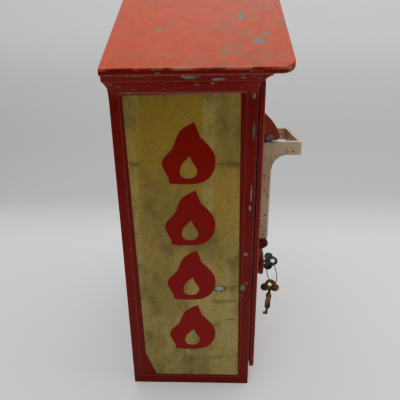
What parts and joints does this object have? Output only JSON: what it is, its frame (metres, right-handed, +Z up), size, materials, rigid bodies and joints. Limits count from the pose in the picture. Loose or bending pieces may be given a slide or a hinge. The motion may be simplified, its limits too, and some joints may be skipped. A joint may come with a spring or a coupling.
{
  "type": "manual call point",
  "caption": "Wall-mounted fire alarm call box: gabled cast housing, hinged door, pull cover with hand bar, lock with keys and a clockwork signal movement.",
  "frame": {"origin": "centre of the rectangle of wall bolt holes, on the back plane", "axes": "+X to the viewer's right facing the door, +Y into the wall, +Z up"},
  "size_m": [0.322, 0.209, 0.4571],
  "materials": {
    "shell_paint": "old gloss paint, worn to bare metal on edges",
    "door_paint": "old gloss paint, worn to bare metal on edges",
    "sign_sheet": "yellowed reflective sheet",
    "sign_mark": "screen ink",
    "steel": "brushed",
    "bright_brass": "lacquered",
    "felt": "matt felt",
    "old_brass": "dull, dirty",
    "cover_paint": "chipped cream paint",
    "dark_steel": "oiled",
    "spring_steel": "blued",
    "green_key": "dark green-grey patina",
    "brown_key": "dark brown patina",
    "case_enamel": "black enamel",
    "case_glass": "clear",
    "fibre": "vulcanised fibre",
    "gong_steel": "nickel plate",
    "copper_coil": "varnished copper winding"
  },
  "bodies": {
    "box": {"shell_left": "shell_paint", "shell_right": "shell_paint", "shell_base": "shell_paint", "shell_back": "shell_paint", "shell_front": "shell_paint", "roof": "shell_paint", "sign_sheets": "sign_sheet", "sign_marks": "sign_mark", "conduit_bushing": "steel", "ground_screw": "bright_brass", "movement_case": "case_enamel", "case_screws": "steel", "case_bezel": "bright_brass", "bezel_screws": "steel", "case_glass": "case_glass", "back_plate": "bright_brass", "front_plate": "bright_brass", "plate_pillars": "steel", "pillar_feet": "steel", "pillar_nuts": "steel", "crank_bracket": "dark_steel", "crank_pin": "steel", "contact_block": "fibre", "contact_springs": "bright_brass", "terminal_posts": "bright_brass", "gong": "gong_steel", "gong_post": "steel", "gong_nut": "steel", "bell_frame": "dark_steel", "bell_coils": "copper_coil"},
    "front_door": {"door": "door_paint", "door_rim": "door_paint", "cover_hood": "door_paint", "cover_seat": "door_paint", "door_gasket": "felt", "door_hinge_pins": "steel", "rod_bushing": "old_brass", "cover_pin": "dark_steel", "hood_pin": "dark_steel", "hood_roller": "dark_steel", "lock_body": "old_brass", "lock_escutcheon": "door_paint"},
    "cover": {"pull_cover": "cover_paint", "cover_cam": "dark_steel", "cover_springs": "spring_steel"},
    "rod": {"push_rod": "steel"},
    "crank": {"bell_crank": "steel"},
    "plug": {"lock_plug": "old_brass", "lock_cam": "steel", "key": "green_key"},
    "ring": {"key_ring": "dark_steel"},
    "hanging_key": {"spare_key": "brown_key"},
    "great_wheel": {"spring_barrel": "bright_brass", "mainspring": "spring_steel"},
    "winder": {"winding_arbor": "steel"},
    "code_train": {"code_arbor": "bright_brass", "code_wheel": "bright_brass"},
    "governor": {"escape_arbor": "steel", "governor_vane": "bright_brass"},
    "rocker": {"tapper": "steel"}
  },
  "joints": [
    {"name": "door_hinge", "type": "hinge", "parent": "box", "child": "front_door", "pos_m": [0.151, -0.146, 0], "axis": [0, 0, 1], "range_deg": [0, 105]},
    {"name": "cover_hinge", "type": "hinge", "parent": "front_door", "child": "cover", "pos_m": [0, -0.167, -0.055], "axis": [1, 0, 0], "range_deg": [0, 50], "stiffness_Nm_per_rad": 0.6, "springref_deg": -34.38},
    {"name": "rod_slide", "type": "slide", "parent": "front_door", "child": "rod", "axis": [0, 1, 0], "range_m": [0, 0.0043]},
    {"name": "crank_pivot", "type": "hinge", "parent": "box", "child": "crank", "pos_m": [0, -0.101, -0.088], "axis": [-1, 0, 0], "range_deg": [0, 9]},
    {"name": "key_turn", "type": "hinge", "parent": "front_door", "child": "plug", "pos_m": [-0.097, -0.153, -0.055], "axis": [0, 1, 0], "range_deg": [0, 90]},
    {"name": "ring_swing", "type": "hinge", "parent": "plug", "child": "ring", "pos_m": [-0.097, -0.1723, -0.0569], "axis": [-1, 0, 0], "range_deg": [-5, 20]},
    {"name": "spare_key_swing", "type": "hinge", "parent": "ring", "child": "hanging_key", "pos_m": [-0.097, -0.1723, -0.0857], "axis": [-1, 0, 0], "range_deg": [-3, 12]},
    {"name": "barrel_turn", "type": "hinge", "parent": "box", "child": "great_wheel", "pos_m": [-0.03, -0.063, 0.012], "axis": [0, 1, 0], "continuous": true},
    {"name": "winding", "type": "hinge", "parent": "box", "child": "winder", "pos_m": [-0.03, -0.063, 0.012], "axis": [0, 1, 0], "continuous": true},
    {"name": "code_turn", "type": "hinge", "parent": "box", "child": "code_train", "pos_m": [0.00932, -0.063, 0.03953], "axis": [0, 1, 0], "continuous": true},
    {"name": "governor_spin", "type": "hinge", "parent": "box", "child": "governor", "pos_m": [0.01765, -0.059, 0.0868], "axis": [0, 1, 0], "continuous": true},
    {"name": "tapper_rock", "type": "hinge", "parent": "box", "child": "rocker", "pos_m": [0.066, -0.039, 0.152], "axis": [0, -1, 0], "range_deg": [0, 5], "stiffness_Nm_per_rad": 0.1, "springref_deg": -22.92}
  ],
  "couplings": [
    {"joint": "rod_slide", "follows": "cover_hinge", "m_per_rad": 0.004824},
    {"joint": "crank_pivot", "follows": "cover_hinge", "ratio": 0.176},
    {"joint": "code_turn", "follows": "barrel_turn", "ratio": -3},
    {"joint": "governor_spin", "follows": "barrel_turn", "ratio": 9}
  ]
}
